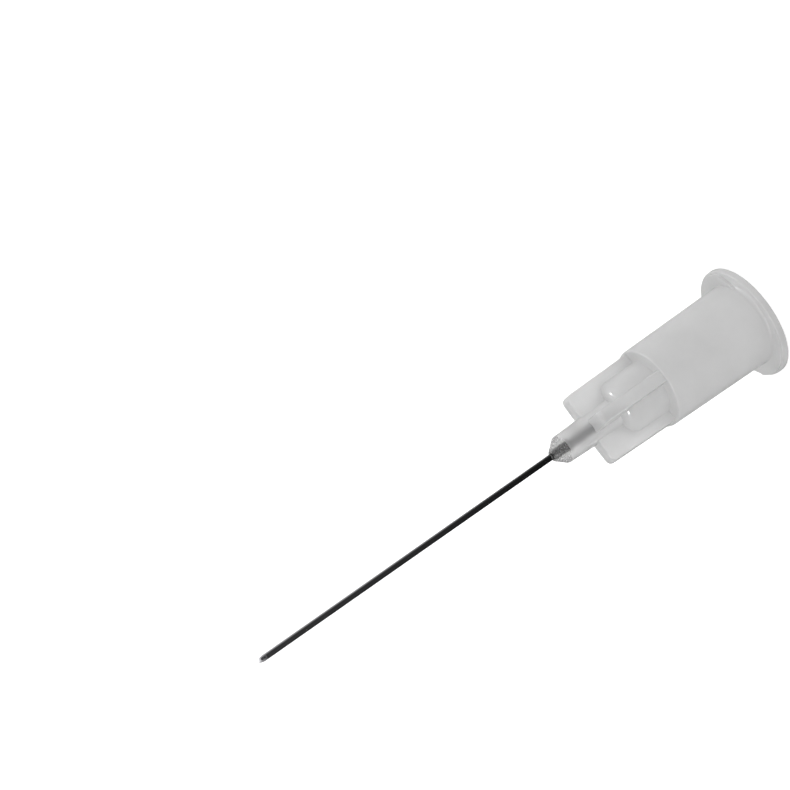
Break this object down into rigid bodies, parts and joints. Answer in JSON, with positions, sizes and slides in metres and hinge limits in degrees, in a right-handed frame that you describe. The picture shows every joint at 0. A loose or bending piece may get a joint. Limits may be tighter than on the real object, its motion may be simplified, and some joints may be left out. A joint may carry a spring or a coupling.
{
  "type": "blunt cannula",
  "caption": "Blunt steel cannula tube with a closed round nose and side port, bonded into a ribbed luer lock hub.",
  "frame": {"origin": "centre of the hub's mouth, in the plane of the flange's rear face", "axes": "+Z along the tube towards its tip; +Y across the two locking lugs, the flange's longest width; +X to the side that the tube's port looks to"},
  "size_m": [0.0068, 0.0076, 0.0424],
  "materials": {
    "hub_plastic": "satin",
    "tube_steel": "polished",
    "clear_adhesive": "gloss"
  },
  "bodies": {
    "root": {"hub": "hub_plastic", "steel_tube": "tube_steel", "adhesive": "clear_adhesive"}
  },
  "joints": []
}
